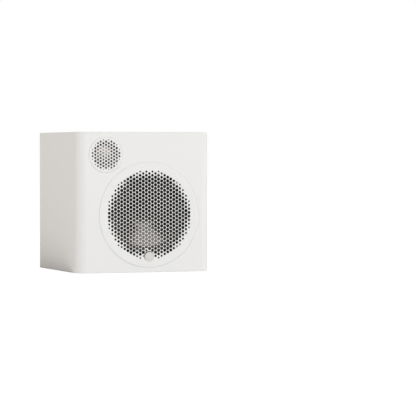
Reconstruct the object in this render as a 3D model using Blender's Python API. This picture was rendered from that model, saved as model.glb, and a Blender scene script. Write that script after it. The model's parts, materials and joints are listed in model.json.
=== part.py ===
"""A compact two-way bookshelf loudspeaker, the left one of a mirrored pair.

A lacquered MDF cabinet, square from the front, with large radii down its two front vertical edges.
A woofer and an offset tweeter sit in round rebates behind perforated steel grilles. The rear panel carries
a reflex port and a recessed terminal cup with two binding posts, and the crossover board stands on the
left side panel.

Frame: +Z up, the front faces -Y, and the origin is at the bottom centre of the whole object's box.
Every size below is in millimetres. The mesh makers turn them into metres.
"""

import math

import bmesh
import bpy

MM = 0.001
WELD = 1e-7
GAP = 0.3

# Sides of the round pieces, by size
WIDE_SIDES = 32
MEDIUM_SIDES = 24
SMALL_SIDES = 18
POST_SIDES = 14
SCREW_SIDES = 8

# Cabinet
CABINET_WIDTH = 200.0
CABINET_HEIGHT = 200.0
CABINET_DEPTH = 186.0
CORNER_RADIUS = 14.4
WALL = 12.0
BAFFLE = 24.0

# What stands proud of the front and of the rear plane, and so centres the frame
BADGE_PROUD = 1.2
SCREW_HEAD_PROUD = 4.2
OVERALL_DEPTH = BADGE_PROUD + CABINET_DEPTH + SCREW_HEAD_PROUD
FRONT = BADGE_PROUD - OVERALL_DEPTH / 2
REAR = FRONT + CABINET_DEPTH
INSIDE_X = CABINET_WIDTH / 2 - WALL

# Drivers: centres seen from the front, and the depths of their rebates behind the front plane
WOOFER_X, WOOFER_Z = 7.2, 82.0
WOOFER_GRILLE_R = 75.3
WOOFER_REBATE = 16.0
WOOFER_CUTOUT_R = 59.7
WOOFER_FLANGE_R = 73.5
WOOFER_SCREW_CIRCLE = 67.0
CONE_R = 49.0
CONE_NECK_R = 13.4
CONE_RIM_DEPTH = 11.7
CONE_NECK_DEPTH = 31.0
DUST_CAP_R = 20.0

TWEETER_X, TWEETER_Z = -57.8, 167.7
TWEETER_GRILLE_R = 25.4
TWEETER_REBATE = 9.0
TWEETER_CUTOUT_R = 19.5
TWEETER_SCREW_CIRCLE = 21.9
DOME_R = 12.6

GRILLE_PROUD = 0.5
GRILLE_SHEET = 1.0

# Badge, on the lower rim of the woofer grille
BADGE_DROP = 60.0
BADGE_R = 7.3

# Rear fittings
PORT_Z = 142.0
PORT_R = 17.0
PORT_LENGTH = 95.0
PORT_MOUTH_R = 25.0
PORT_COLLAR_R = 26.2
PORT_FLANGE_R = 33.0
CUP_Z = 46.0
CUP_WIDTH, CUP_HEIGHT, CUP_CORNER = 74.0, 52.0, 6.0
CUP_DEPTH = 25.5
CUP_WALL = 2.5
POST_SPACING = 19.0
POST_SHAFT_R = 2.5
FLANGE_PROUD = 2.5

# Crossover board, standing on the left side panel
BOARD_FACE_X = -80.8
BOARD_SHEET = 1.6
BOARD_Y = (-30.0, 50.0)
BOARD_Z = (40.0, 110.0)

LEAD_R = 1.6


# ---------------------------------------------------------------- materials


def finish(name, colour, roughness, metallic=0.0):
    """A plain Principled material, made once for each name."""
    known = bpy.data.materials.get(name)
    if known:
        return known
    made = bpy.data.materials.new(name)
    made.use_nodes = True
    shader = made.node_tree.nodes["Principled BSDF"]
    shader.inputs["Base Color"].default_value = (*colour, 1.0)
    shader.inputs["Roughness"].default_value = roughness
    shader.inputs["Metallic"].default_value = metallic
    return made


def white_lacquer():
    return finish("white_lacquer", (0.82, 0.81, 0.79), 0.55)


def grille_paint():
    return finish("grille_paint", (0.82, 0.81, 0.80), 0.5)


def badge_metal():
    return finish("badge_metal", (0.62, 0.60, 0.57), 0.4, 0.6)


def black_steel():
    return finish("black_steel", (0.03, 0.03, 0.03), 0.5, 0.8)


def zinc():
    return finish("zinc", (0.60, 0.60, 0.58), 0.35, 1.0)


def ferrite():
    return finish("ferrite", (0.05, 0.05, 0.055), 0.7)


def black_rubber():
    return finish("black_rubber", (0.02, 0.02, 0.02), 0.7)


def cone_pulp():
    return finish("cone_pulp", (0.02, 0.02, 0.02), 0.35)


def spider_cloth():
    return finish("spider_cloth", (0.45, 0.30, 0.12), 0.9)


def copper():
    return finish("copper", (0.70, 0.30, 0.14), 0.4, 1.0)


def dome_metal():
    return finish("dome_metal", (0.65, 0.65, 0.66), 0.3, 1.0)


def grey_plastic():
    return finish("grey_plastic", (0.35, 0.35, 0.35), 0.5)


def black_plastic():
    return finish("black_plastic", (0.025, 0.025, 0.025), 0.5)


def red_plastic():
    return finish("red_plastic", (0.45, 0.02, 0.02), 0.4)


def brass():
    return finish("gilt_brass", (0.80, 0.60, 0.25), 0.3, 1.0)


def board_laminate():
    return finish("board_laminate", (0.05, 0.18, 0.07), 0.5)


def film_sleeve():
    return finish("film_sleeve", (0.55, 0.40, 0.06), 0.4)


def ceramic_cement():
    return finish("ceramic_cement", (0.70, 0.68, 0.62), 0.8)


def grey_foam():
    return finish("grey_foam", (0.30, 0.30, 0.31), 0.95)


def lead_sheath():
    return finish("lead_sheath", (0.10, 0.10, 0.10), 0.6)


# ---------------------------------------------------------------- mesh makers


def clear_scene():
    for old in list(bpy.data.objects):
        bpy.data.objects.remove(old, do_unlink=True)


def holder(name, x, y, z):
    """An empty that carries the pieces of one fitting."""
    empty = bpy.data.objects.new(name, None)
    empty.location = (x * MM, y * MM, z * MM)
    bpy.context.collection.objects.link(empty)
    return empty


def added(name, mesh, material, parent=None, at=(0.0, 0.0, 0.0)):
    """Turns a bmesh into an object, shaded smooth where it is round."""
    bmesh.ops.recalc_face_normals(mesh, faces=mesh.faces)
    data = bpy.data.meshes.new(name)
    mesh.to_mesh(data)
    mesh.free()
    data.shade_smooth()
    data.set_sharp_from_angle(angle=math.radians(35))
    made = bpy.data.objects.new(name, data)
    made.location = [value * MM for value in at]
    made.parent = parent
    if material:
        data.materials.append(material)
    bpy.context.collection.objects.link(made)
    return made


def turned(name, profile, steps, material, parent=None, at=(0.0, 0.0, 0.0)):
    """A closed profile of (radius, depth) points, turned about the object's own Y axis."""
    mesh = bmesh.new()
    rim = [mesh.verts.new((radius * MM, depth * MM, 0.0)) for radius, depth in profile]
    edges = [mesh.edges.new(ends) for ends in zip(rim, rim[1:] + rim[:1]) if max(v.co.x for v in ends) > 0]
    bmesh.ops.spin(
        mesh,
        geom=rim + edges,
        cent=(0, 0, 0),
        axis=(0, 1, 0),
        angle=math.tau,
        steps=steps,
        use_merge=True,
    )
    bmesh.ops.remove_doubles(mesh, verts=mesh.verts, dist=WELD)
    return added(name, mesh, material, parent, at)


def stacked(name, rings, material, parent=None, at=(0.0, 0.0, 0.0)):
    """A closed body through rings of 3D points, all with the same count, capped at both ends."""
    mesh = bmesh.new()
    made = [[mesh.verts.new([value * MM for value in point]) for point in ring] for ring in rings]
    for low, high in zip(made, made[1:]):
        for i in range(len(low)):
            after = (i + 1) % len(low)
            mesh.faces.new((low[i], low[after], high[after], high[i]))
    mesh.faces.new(reversed(made[0]))
    mesh.faces.new(made[-1])
    return added(name, mesh, material, parent, at)


def prism(name, outline, span, axis, material, parent=None, at=(0.0, 0.0, 0.0)):
    """An outline extruded along Y, as (x, z) points, or along Z, as (x, y) points."""
    place = {"Y": lambda a, b, h: (a, h, b), "Z": lambda a, b, h: (a, b, h)}[axis]
    rings = [[place(a, b, height) for a, b in outline] for height in span]
    return stacked(name, rings, material, parent, at)


def slab(name, low, high, material, parent=None):
    """A plain box between two corners."""
    outline = [(low[0], low[1]), (high[0], low[1]), (high[0], high[1]), (low[0], high[1])]
    return prism(name, outline, (low[2], high[2]), "Z", material, parent)


def circle(radius, steps, centre=(0.0, 0.0), start=0.0):
    angles = [start + math.tau * i / steps for i in range(steps)]
    return [(centre[0] + radius * math.cos(a), centre[1] + radius * math.sin(a)) for a in angles]


def arc(centre, radius, from_degrees, to_degrees, steps):
    """Points round part of a circle, both ends included."""
    turn = to_degrees - from_degrees
    angles = [math.radians(from_degrees + turn * i / steps) for i in range(steps + 1)]
    return [(centre[0] + radius * math.cos(a), centre[1] + radius * math.sin(a)) for a in angles]


def rounded_rectangle(width, height, radius, steps=2):
    x, z = width / 2 - radius, height / 2 - radius
    corners = ((x, z, 0), (-x, z, 90), (-x, -z, 180), (x, -z, 270))
    return [p for cx, cz, turn in corners for p in arc((cx, cz), radius, turn, turn + 90, steps)]


def drills(name, centres, radius, span, steps, parent):
    """One cutter of equal round holes along Y, at (x, z) centres."""
    mesh = bmesh.new()
    for x, z in centres:
        low, high = (
            [mesh.verts.new((a * MM, depth * MM, b * MM)) for a, b in circle(radius, steps, (x, z))]
            for depth in span
        )
        for i in range(steps):
            after = (i + 1) % steps
            mesh.faces.new((low[i], low[after], high[after], high[i]))
        mesh.faces.new(reversed(low))
        mesh.faces.new(high)
    return added(name, mesh, None, parent)


def screw_holes(name, centres, radius, start, end, parent):
    return drills(name, centres, radius, (start, end), SCREW_SIDES, parent)


def cut(target, *cutters):
    """Takes each cutter out of the target. A cutter stays as a hidden helper."""
    for cutter in cutters:
        cutter.hide_render = True
        cutter.display_type = "WIRE"
        step = target.modifiers.new(cutter.name, "BOOLEAN")
        step.operation = "DIFFERENCE"
        step.solver = "EXACT"
        step.object = cutter


def polar(radius, degrees):
    return radius * math.cos(math.radians(degrees)), radius * math.sin(math.radians(degrees))


def through(points, spacing):
    """A smooth curve through the route's own points, read about every spacing (Catmull-Rom)."""
    ends = [points[0], *points, points[-1]]
    line = []
    for a, b, c, d in zip(ends, ends[1:], ends[2:], ends[3:]):
        pieces = max(2, round(math.dist(b, c) / spacing))
        for i in range(pieces):
            t = i / pieces
            line.append([
                q + 0.5 * t * (r - p + t * (2 * p - 5 * q + 4 * r - s + t * (3 * (q - r) + s - p)))
                for p, q, r, s in zip(a, b, c, d)
            ])
    return [*line, list(points[-1])]


def lead(name, route):
    """A round insulated lead along its route."""
    curve = bpy.data.curves.new(name, "CURVE")
    curve.dimensions = "3D"
    curve.bevel_depth = LEAD_R * MM
    curve.bevel_resolution = 2
    curve.use_fill_caps = True
    points = through(route, 5 * LEAD_R)
    spline = curve.splines.new("POLY")
    spline.points.add(len(points) - 1)
    for knot, point in zip(spline.points, points):
        knot.co = (*(value * MM for value in point), 1.0)
    curve.materials.append(lead_sheath())
    made = bpy.data.objects.new(name, curve)
    bpy.context.collection.objects.link(made)
    return made


# ---------------------------------------------------------------- cabinet


def front_baffle(woofer, tweeter):
    """The thick front board, with the radius on its front vertical edges and a stepped seat for each driver."""
    half, inner = CABINET_WIDTH / 2, CABINET_WIDTH / 2 - CORNER_RADIUS
    outline = [
        (half, FRONT + BAFFLE),
        (-half, FRONT + BAFFLE),
        *arc((-inner, FRONT + CORNER_RADIUS), CORNER_RADIUS, 180, 270, 6),
        *arc((inner, FRONT + CORNER_RADIUS), CORNER_RADIUS, 270, 360, 6),
    ]
    board = prism("front_baffle", outline, (0, CABINET_HEIGHT), "Z", white_lacquer())
    cut(
        board,
        seat_cutter("woofer_seat", WOOFER_GRILLE_R, WOOFER_REBATE, WOOFER_CUTOUT_R, WIDE_SIDES, woofer),
        seat_cutter("tweeter_seat", TWEETER_GRILLE_R, TWEETER_REBATE, TWEETER_CUTOUT_R, MEDIUM_SIDES, tweeter),
        screw_holes("woofer_pilots", woofer_screw_places(), 2.3, WOOFER_REBATE - 1, BAFFLE + 1, woofer),
        screw_holes("tweeter_pilots", tweeter_screw_places(), 1.7, TWEETER_REBATE - 1, BAFFLE + 1, tweeter),
    )


def seat_cutter(name, grille_radius, rebate, cutout_radius, steps, parent):
    """The rebate that a grille presses into, and the smaller hole behind it for the driver's body."""
    rebate_radius = grille_radius + GAP
    before, behind = -2, BAFFLE + 2
    profile = [
        (0, before),
        (rebate_radius, before),
        (rebate_radius, rebate),
        (cutout_radius, rebate),
        (cutout_radius, behind),
        (0, behind),
    ]
    return turned(name, profile, steps, None, parent)


def walls():
    """Top and bottom run the full width behind the baffle, and the sides stand between them."""
    half = CABINET_WIDTH / 2
    start = FRONT + BAFFLE + GAP
    side_low, side_high = WALL + GAP, CABINET_HEIGHT - WALL - GAP
    paint = white_lacquer()
    slab("bottom_panel", (-half, start, 0), (half, REAR, WALL), paint)
    slab("top_panel", (-half, start, CABINET_HEIGHT - WALL), (half, REAR, CABINET_HEIGHT), paint)
    slab("left_side_panel", (-half, start, side_low), (-INSIDE_X, REAR, side_high), paint)
    slab("right_side_panel", (INSIDE_X, start, side_low), (half, REAR, side_high), paint)


def rear_panel(port, cup):
    """Set in between the four walls, flush with their rear ends."""
    low = (-INSIDE_X + GAP, REAR - WALL, WALL + GAP)
    high = (INSIDE_X - GAP, REAR, CABINET_HEIGHT - WALL - GAP)
    panel = slab("rear_panel", low, high, white_lacquer())
    opening = rounded_rectangle(CUP_WIDTH + 0.8, CUP_HEIGHT + 0.8, CUP_CORNER + 0.4)
    through_wall = (-WALL - 2, 2)
    cut(
        panel,
        prism("cup_opening", opening, through_wall, "Y", None, cup),
        drills("port_opening", [(0, 0)], PORT_COLLAR_R + 0.6, through_wall, MEDIUM_SIDES, port),
        screw_holes("cup_pilots", cup_screw_places(), 1.8, *through_wall, cup),
    )


def damping_pad():
    """Fibre pad on the right side panel."""
    slab("damping_pad", (69.5, -55, 16), (INSIDE_X - GAP, 74, 184), grey_foam())


# ---------------------------------------------------------------- grilles and badge


def grille(name, radius, skirt, steps, parent):
    """A shallow pressed steel cap: a flat face, a small edge radius, and a skirt that presses into its seat."""
    edge = 0.6
    front, back = -GRILLE_PROUD, GRILLE_SHEET - GRILLE_PROUD
    profile = [
        (0, front),
        (radius - edge, front),
        (radius - 0.3 * edge, front + 0.3 * edge),
        (radius, front + edge),
        (radius, skirt),
        (radius - 0.8, skirt),
        (radius - 0.8, back),
        (0, back),
    ]
    return turned(name, profile, steps, grille_paint(), parent)


def woofer_grille(woofer):
    cap = grille("woofer_grille", WOOFER_GRILLE_R, 5.0, WIDE_SIDES, woofer)
    cut(cap, drills("badge_hole", [(0, -BADGE_DROP)], BADGE_R + 0.7, (-4, 4), SMALL_SIDES, woofer))


def badge(woofer):
    """A plain round plate that stands out of its hole in the grille, held by a flange behind the sheet."""
    behind = GRILLE_SHEET - GRILLE_PROUD + GAP
    profile = [
        (0, -BADGE_PROUD),
        (BADGE_R - 0.5, -BADGE_PROUD),
        (BADGE_R, -BADGE_PROUD + 0.5),
        (BADGE_R, behind),
        (BADGE_R + 2.3, behind),
        (BADGE_R + 2.3, behind + 0.9),
        (0, behind + 0.9),
    ]
    turned("badge", profile, SMALL_SIDES, badge_metal(), woofer, (0, 0, -BADGE_DROP))


# ---------------------------------------------------------------- woofer


def woofer_screw_places():
    return [polar(WOOFER_SCREW_CIRCLE, 45 + 90 * i) for i in range(4)]


def cone_depth(radius):
    """Depth of the cone's front surface, which curves a little towards its neck."""
    share = (radius - CONE_NECK_R) / (CONE_R - CONE_NECK_R)
    return CONE_NECK_DEPTH - (CONE_NECK_DEPTH - CONE_RIM_DEPTH) * share**0.9


def woofer_basket(woofer):
    """Pressed steel frame: flange, windowed wall, spider landing and the plate that the motor hangs on."""
    profile = [
        (58.2, 11.7),
        (WOOFER_FLANGE_R, 11.7),
        (WOOFER_FLANGE_R, 14.2),
        (59.4, 14.2),
        (57.6, 16.6),
        (42.4, 34.6),
        (38.3, 34.8),
        (36.8, 46.0),
        (15.5, 46.0),
        (15.5, 44.2),
        (35.0, 44.2),
        (36.5, 33.0),
        (41.0, 33.0),
        (56.0, 15.6),
    ]
    basket = turned("woofer_basket", profile, WIDE_SIDES, black_steel(), woofer)
    windows = []
    opening = rounded_rectangle(24, 26, 3, 1)
    for i in range(6):
        window = prism(f"basket_window_{i + 1}", opening, (18.5, 30.5), "Y", None, woofer)
        x, z = polar(50, 30 + 60 * i)
        window.location = (x * MM, 0, z * MM)
        window.rotation_euler = (0, -math.radians(30 + 60 * i), 0)
        windows.append(window)
    cut(basket, *windows, screw_holes("flange_holes", woofer_screw_places(), 2.4, 10, 16, woofer))


def woofer_gasket(woofer):
    ring = [(60.6, 14.5), (73.0, 14.5), (73.0, 15.7), (60.6, 15.7)]
    gasket = turned("woofer_gasket", ring, WIDE_SIDES, black_rubber(), woofer)
    cut(gasket, screw_holes("gasket_holes", woofer_screw_places(), 2.4, 13, 17, woofer))


def woofer_surround(woofer):
    """A half roll between two flat lips, one on the flange and one on the cone's rim."""
    inner, outer, height, sheet = 49.6, 58.4, 4.4, 0.6
    middle, half = (inner + outer) / 2, (outer - inner) / 2
    base = CONE_RIM_DEPTH - GAP
    angles = steps_of(math.pi, 4)
    front = [(middle - half * math.cos(a), base - sheet - height * math.sin(a)) for a in angles]
    back = [(middle + (half - sheet) * math.cos(a), base - height * math.sin(a)) for a in angles]
    lip_radius, flange_radius = 46.0, 62.6
    lip = cone_depth(lip_radius) - GAP
    profile = [
        (lip_radius, lip - sheet),
        *front,
        (flange_radius, base - sheet),
        (flange_radius, base),
        *back,
        (CONE_R, base),
        (lip_radius, lip),
    ]
    turned("woofer_surround", profile, WIDE_SIDES, black_rubber(), woofer)


def steps_of(turn, count):
    return [turn * i / count for i in range(count + 1)]


def woofer_cone(woofer):
    radii = [CONE_NECK_R + (CONE_R - CONE_NECK_R) * share for share in (0, 0.15, 0.4, 0.7, 1)]
    front = [(r, cone_depth(r)) for r in radii]
    back = [(r, cone_depth(r) + 0.9) for r in reversed(radii)]
    turned("woofer_cone", front + back, WIDE_SIDES, cone_pulp(), woofer)


def woofer_dust_cap(woofer):
    """A shallow dish that closes the cone's neck, with its rim on the cone."""
    rim = cone_depth(DUST_CAP_R) - GAP
    dish, sheet = 2.4, 0.5
    shares = (1, 0.7, 0.35, 0)
    back = [(DUST_CAP_R * s, rim + dish * (1 - s * s)) for s in shares]
    front = [(radius, depth - sheet) for radius, depth in reversed(back)]
    turned("woofer_dust_cap", back + front, MEDIUM_SIDES, cone_pulp(), woofer)


def woofer_spider(woofer):
    """The corrugated cloth that centres the coil, glued to its landing in the basket."""
    inner, outer, folds, swing, sheet = 16.0, 35.5, 6, 1.1, 0.5
    level = 32.2
    fold = (outer - inner) / folds
    wave = [(inner + fold * (i + 0.5), level + swing * (-1) ** i) for i in range(folds)]
    front = [(13.5, level), (inner, level), *wave, (outer, level), (40.4, level)]
    back = [(radius, depth + sheet) for radius, depth in reversed(front)]
    turned("woofer_spider", front + back, MEDIUM_SIDES, spider_cloth(), woofer)


def woofer_motor(woofer):
    """Voice coil on its former, and the magnet: top plate, ferrite ring and yoke with its vented pole."""
    coil = [(12.7, 29.6), (13.1, 29.6), (13.1, 43.6), (14.0, 43.6), (14.0, 54.6), (12.7, 54.6)]
    turned("woofer_voice_coil", coil, MEDIUM_SIDES, copper(), woofer)
    plate = [(14.7, 46.3), (31.5, 46.3), (32.0, 46.8), (32.0, 51.3), (14.7, 51.3)]
    turned("woofer_top_plate", plate, MEDIUM_SIDES, zinc(), woofer)
    ring = [(17.0, 51.6), (35.0, 51.6), (35.0, 65.6), (17.0, 65.6)]
    turned("woofer_magnet", ring, MEDIUM_SIDES, ferrite(), woofer)
    yoke = [(4.0, 46.5), (12.1, 46.5), (12.1, 65.9), (32.0, 65.9), (32.0, 70.4), (31.0, 70.9), (4.0, 70.9)]
    turned("woofer_yoke", yoke, MEDIUM_SIDES, zinc(), woofer)


def woofer_terminal_strip(woofer):
    """The tag board on the back of the spider landing, on the side of the crossover."""
    slab("woofer_terminal_strip", (-53, 35.1, -8), (-40, 36.7, 8), board_laminate(), woofer)


def screw(name, head_radius, shank_radius, head, length, parent, at):
    """A pan-head wood screw. Its head's underside is at depth 0, and its shank runs on to its length."""
    profile = [
        (0, -head),
        (0.7 * head_radius, -head),
        (head_radius, -0.4 * head),
        (head_radius, 0),
        (shank_radius, 0),
        (shank_radius, length - 2 * shank_radius),
        (0, length),
    ]
    return turned(name, profile, SCREW_SIDES, zinc(), parent, at)


def woofer_screws(woofer):
    under_head = CONE_RIM_DEPTH - GAP
    for i, (x, z) in enumerate(woofer_screw_places()):
        screw(f"woofer_screw_{i + 1}", 3.6, 1.9, 2.1, 13, woofer, (x, under_head, z))


# ---------------------------------------------------------------- tweeter


def tweeter_screw_places():
    return [polar(TWEETER_SCREW_CIRCLE, 90 + 120 * i) for i in range(3)]


def tweeter_faceplate(tweeter):
    """A shallow flare round the dome, with a collar behind that holds the motor."""
    profile = [
        (18.6, 5.5),
        (25.0, 5.5),
        (25.0, 8.7),
        (18.9, 8.7),
        (18.9, 16.0),
        (17.3, 16.0),
        (17.3, 9.3),
        (15.6, 9.3),
        (15.6, 7.9),
        (16.8, 6.4),
    ]
    plate = turned("tweeter_faceplate", profile, MEDIUM_SIDES, grey_plastic(), tweeter)
    cut(plate, screw_holes("faceplate_holes", tweeter_screw_places(), 1.7, 4, 10, tweeter))


def tweeter_diaphragm(tweeter):
    """Metal dome, its small half-roll surround and the coil that drives it."""
    shares = (0, 0.4, 0.75, 1)
    front = [(DOME_R * s, 5.2 + 3.1 * s * s) for s in shares]
    back = [(DOME_R * s, 5.55 + 3.05 * s * s) for s in reversed(shares)]
    turned("tweeter_dome", front + back, SMALL_SIDES, dome_metal(), tweeter)

    inner, outer, height, sheet = 12.95, 15.3, 1.1, 0.35
    middle, half = (inner + outer) / 2, (outer - inner) / 2
    roll = [(middle - half * math.cos(a), 9.5 - height * math.sin(a)) for a in steps_of(math.pi, 4)]
    front = [*roll, (16.9, 9.7)]
    back = [
        (16.9, 10.1),
        (outer - 0.2, 10.1),
        (middle + 0.5, 9.3),
        (middle, 9.5 - height + sheet + 0.1),
        (middle - 0.5, 9.3),
        (inner + 0.1, 10.0),
    ]
    turned("tweeter_surround", front + back, SMALL_SIDES, black_rubber(), tweeter)

    coil = [(12.1, 8.9), (12.45, 8.9), (12.45, 10.9), (13.2, 10.9), (13.2, 13.9), (12.1, 13.9)]
    turned("tweeter_voice_coil", coil, SMALL_SIDES, copper(), tweeter)


def tweeter_motor(tweeter):
    """A steel pot with a neodymium disc and a pole plate inside it, and the tag board on its back."""
    pot = [(13.9, 10.5), (17.0, 10.5), (17.0, 23.9), (16.4, 24.5), (0, 24.5), (0, 20.5), (13.9, 20.5)]
    turned("tweeter_pot", pot, SMALL_SIDES, zinc(), tweeter)
    disc = [(0, 13.8), (11.2, 13.8), (11.2, 20.2), (0, 20.2)]
    turned("tweeter_magnet", disc, SMALL_SIDES, zinc(), tweeter)
    pole = [(0, 11.0), (11.6, 11.0), (11.6, 13.5), (0, 13.5)]
    turned("tweeter_pole_plate", pole, SMALL_SIDES, zinc(), tweeter)
    slab("tweeter_terminal_board", (-10, 24.8, -5), (10, 26.4, 5), board_laminate(), tweeter)


def tweeter_screws(tweeter):
    for i, (x, z) in enumerate(tweeter_screw_places()):
        screw(f"tweeter_screw_{i + 1}", 2.3, 1.25, 1.2, 13, tweeter, (x, 5.2, z))


# ---------------------------------------------------------------- rear fittings


def port_tube(port):
    """Reflex port: a straight tube that flares to its flange. Depth 0 is the cabinet's rear plane."""
    flare = [
        (PORT_R + (PORT_MOUTH_R - PORT_R) * (1 - math.cos(a)), -12 + (12 + FLANGE_PROUD) * math.sin(a))
        for a in steps_of(math.pi / 2, 4)
    ]
    profile = [
        (PORT_R, -PORT_LENGTH),
        *flare,
        (PORT_FLANGE_R - 1, FLANGE_PROUD),
        (PORT_FLANGE_R, FLANGE_PROUD - 1),
        (PORT_FLANGE_R, GAP),
        (PORT_COLLAR_R, GAP),
        (PORT_COLLAR_R, -1.5),
        (22.0, -8),
        (PORT_R + 2.2, -14),
        (PORT_R + 2.0, -PORT_LENGTH),
    ]
    turned("port_tube", profile, MEDIUM_SIDES, black_plastic(), port)


def cup_screw_places():
    return [(x, z) for x in (-39.5, 39.5) for z in (-28, 28)]


def terminal_cup(cup):
    """A moulded tray let into the rear panel, with a flange round it."""
    width, height, corner = CUP_WIDTH + 14, CUP_HEIGHT + 14, CUP_CORNER + 2
    sections = [
        (CUP_WIDTH, CUP_HEIGHT, CUP_CORNER, -CUP_DEPTH - CUP_WALL),
        (CUP_WIDTH, CUP_HEIGHT, CUP_CORNER, GAP),
        (width, height, corner, GAP),
        (width, height, corner, FLANGE_PROUD - 0.6),
        (width - 1.2, height - 1.2, corner - 0.6, FLANGE_PROUD),
        (CUP_WIDTH - 4, CUP_HEIGHT - 4, CUP_CORNER - 1, FLANGE_PROUD),
        (CUP_WIDTH - 6, CUP_HEIGHT - 6, CUP_CORNER - 2, -CUP_DEPTH),
    ]
    rings = [
        [(x, depth, z) for x, z in rounded_rectangle(across, up, radius)]
        for across, up, radius, depth in sections
    ]
    tray = stacked("terminal_cup", rings, black_plastic(), cup)
    posts = [(-POST_SPACING / 2, 0), (POST_SPACING / 2, 0)]
    cut(
        tray,
        drills("post_holes", posts, POST_SHAFT_R + 0.5, (-CUP_DEPTH - 5, -CUP_DEPTH + 3), POST_SIDES, cup),
        screw_holes("tray_screw_holes", cup_screw_places(), 1.9, -2, 5, cup),
    )


def binding_post(colour, material, x, cup):
    """Stud with its socket, clamp washer, knurled cap and the nut that holds it behind the tray."""
    floor = -CUP_DEPTH
    place = (x, 0, 0)
    stud = [
        (0, floor - 16.5),
        (POST_SHAFT_R, floor - 16.5),
        (POST_SHAFT_R, floor + GAP),
        (5.6, floor + GAP),
        (5.6, floor + 2.8),
        (POST_SHAFT_R, floor + 2.8),
        (POST_SHAFT_R, -6.0),
        (2.0, -6.0),
        (2.0, -17.0),
        (0, -17.0),
    ]
    turned(f"{colour}_post_stud", stud, POST_SIDES, brass(), cup, place)
    washer = [(2.95, floor + 3.1), (5.4, floor + 3.1), (5.4, floor + 4.1), (2.95, floor + 4.1)]
    turned(f"{colour}_post_washer", washer, POST_SIDES, brass(), cup, place)

    flutes = 12
    base, top = floor + 4.4, -5.5
    knurl = [
        (radius * math.cos(a), radius * math.sin(a))
        for i in range(flutes)
        for radius, a in ((6.4, math.tau * i / flutes), (5.8, math.tau * (i + 0.5) / flutes))
    ]
    skirt = circle(6.6, 2 * flutes)
    crown = circle(4.6, 2 * flutes)
    bore = circle(2.95, 2 * flutes)
    levels = [
        (bore, base),
        (skirt, base),
        (skirt, base + 2),
        (knurl, base + 2.4),
        (knurl, top - 1.2),
        (crown, top),
        (bore, top),
    ]
    rings = [[(px, depth, pz) for px, pz in ring] for ring, depth in levels]
    open_tube(f"{colour}_post_cap", rings, material, cup, place)

    nut = prism(f"{colour}_post_nut", circle(5.0, 6), (floor - 6.8, floor - 2.8), "Y", zinc(), cup, place)
    thread_span = (floor - 9, floor)
    cut(nut, drills(f"{colour}_nut_thread", [(x, 0)], POST_SHAFT_R + GAP, thread_span, POST_SIDES, cup))


def open_tube(name, rings, material, parent, at):
    """Rings joined one to the next, and the last to the first, so that a hole runs right through."""
    mesh = bmesh.new()
    made = [[mesh.verts.new([value * MM for value in point]) for point in ring] for ring in rings]
    for low, high in zip(made, made[1:] + made[:1]):
        for i in range(len(low)):
            after = (i + 1) % len(low)
            mesh.faces.new((low[i], low[after], high[after], high[i]))
    return added(name, mesh, material, parent, at)


def terminal_screws(cup):
    under_head = FLANGE_PROUD + GAP
    for i, (x, z) in enumerate(cup_screw_places()):
        name = f"terminal_screw_{i + 1}"
        made = screw(name, 3.0, 1.4, SCREW_HEAD_PROUD - under_head, 12, cup, (x, under_head, z))
        made.rotation_euler = (0, 0, math.pi)


# ---------------------------------------------------------------- crossover and wiring


def crossover():
    """The filter board on its foam mount, with the coils and capacitors standing on its face."""
    back = BOARD_FACE_X - BOARD_SHEET
    slab("crossover_foam_mount", (-INSIDE_X + GAP, -22, 46), (back - GAP, 42, 104), grey_foam())
    low, high = (back, BOARD_Y[0], BOARD_Z[0]), (BOARD_FACE_X, BOARD_Y[1], BOARD_Z[1])
    slab("crossover_board", low, high, board_laminate())
    coil("woofer_inductor", 17.0, 16.0, -10, 60)
    coil("tweeter_inductor", 12.0, 12.0, 30, 93)
    capacitor("woofer_capacitor", 7.5, (12, 46), 50, black_plastic())
    capacitor("tweeter_capacitor", 6.5, (12, 44), 68.5, film_sleeve())
    face = BOARD_FACE_X + GAP
    slab("crossover_resistor", (face, -22, 88), (face + 9.5, 3, 98), ceramic_cement())


def coil(name, radius, height, y, z):
    """A copper coil on a flanged bobbin, its axis square to the board."""
    sheet = 1.4
    profile = [
        (4.0, 0),
        (radius, 0),
        (radius, sheet),
        (radius - 1.2, sheet),
        (radius - 1.2, height - sheet),
        (radius, height - sheet),
        (radius, height),
        (4.0, height),
    ]
    made = turned(name, profile, SMALL_SIDES, copper(), None, (BOARD_FACE_X + GAP, y, z))
    made.rotation_euler = (0, 0, -math.pi / 2)


def capacitor(name, radius, span, z, material):
    """A can that lies along the board, with rounded ends."""
    start, end = span
    profile = [
        (0, start),
        (radius - 1, start),
        (radius, start + 1),
        (radius, end - 1),
        (radius - 1, end),
        (0, end),
    ]
    turned(name, profile, POST_SIDES, material, None, (BOARD_FACE_X + GAP + radius, 0, z))


def wiring():
    """Three twin leads, each soldered at both ends."""
    board = BOARD_FACE_X + GAP + 0.1
    strip = FRONT + 36.7 + GAP + 0.1
    tags = FRONT + 26.4 + GAP + 0.1
    stud_end = REAR - CUP_DEPTH - 16.5 - GAP - 0.1
    post_x = -POST_SPACING / 2
    lead("input_lead", [
        (post_x, stud_end, CUP_Z),
        (post_x - 3, stud_end - 9, CUP_Z + 1),
        (-26, stud_end - 15, CUP_Z + 8),
        (-50, stud_end - 9, CUP_Z + 22),
        (-70, 44, 79),
        (board, 45, 80),
    ])
    lead("woofer_lead", [
        (board, -24, 83),
        (board + 9, -24, 84),
        (-55, -26, 88),
        (-43, -37, 86),
        (WOOFER_X - 47, strip + 7, WOOFER_Z + 0.5),
        (WOOFER_X - 47, strip, WOOFER_Z),
    ])
    lead("tweeter_lead", [
        (board, -14, 105),
        (board + 9, -15, 107),
        (-66, -24, 122),
        (-60, -38, 145),
        (TWEETER_X, tags + 10, TWEETER_Z - 2),
        (TWEETER_X, tags, TWEETER_Z),
    ])


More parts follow.
